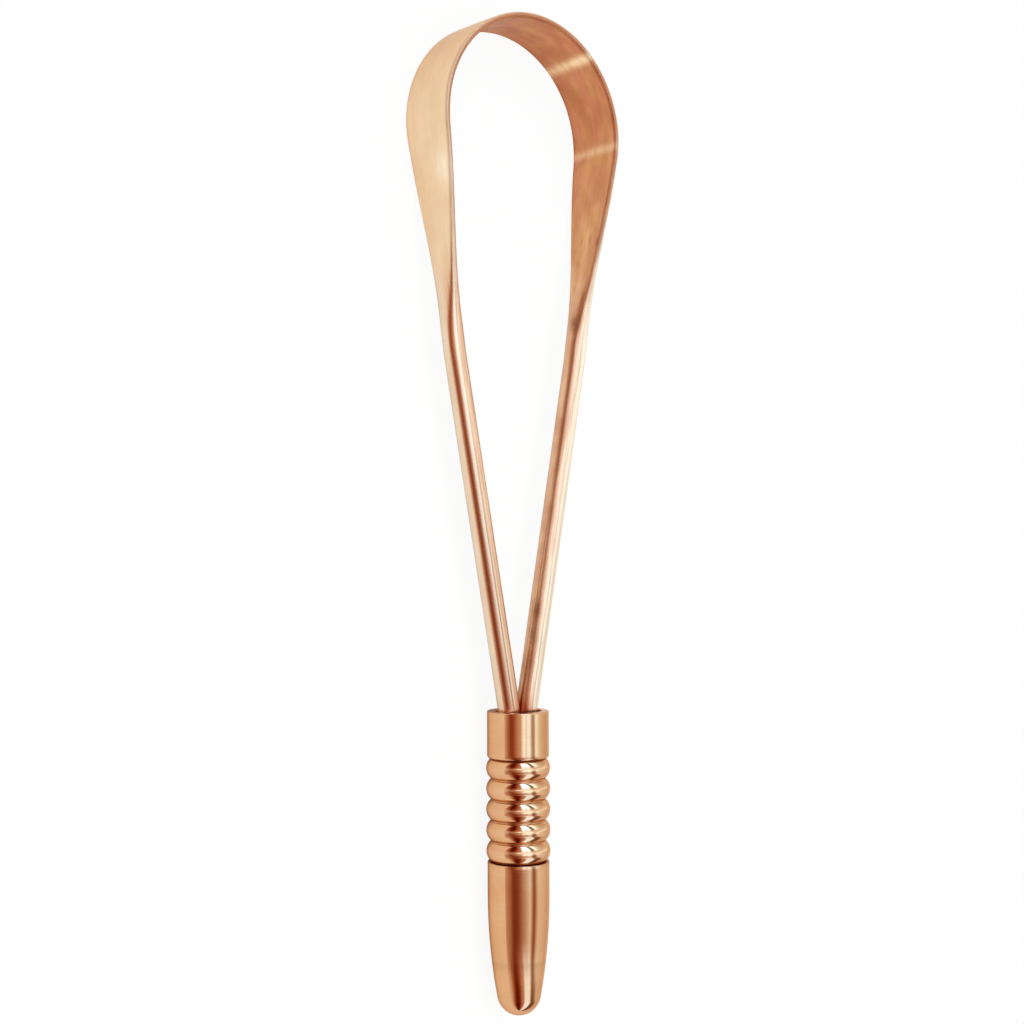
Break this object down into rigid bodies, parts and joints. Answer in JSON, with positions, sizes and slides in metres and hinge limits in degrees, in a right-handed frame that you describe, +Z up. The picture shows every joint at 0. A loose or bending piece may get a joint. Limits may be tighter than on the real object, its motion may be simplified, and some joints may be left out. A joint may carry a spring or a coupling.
{
  "type": "tongue scraper",
  "caption": "Copper tongue scraper: a rod flattened into a teardrop scraping loop, its legs brazed into a turned handle with a collar, ring beads and a bullet-shaped end.",
  "frame": {"origin": "middle of the underside, with the scraper lying flat on the band's edge", "axes": "+Y along the handle's axis towards the loop, +X across the loop, +Z up, square to the loop's plane"},
  "size_m": [0.0408, 0.18, 0.012],
  "materials": {
    "loop_copper": "rolled copper, satin on the band and polished on the legs",
    "handle_copper": "turned and polished copper",
    "braze": "dull copper filler metal"
  },
  "bodies": {
    "root": {"scraper_loop": "loop_copper", "collar": "handle_copper", "beaded_grip": "handle_copper", "end_cap": "handle_copper", "braze_fill": "braze"}
  },
  "joints": []
}
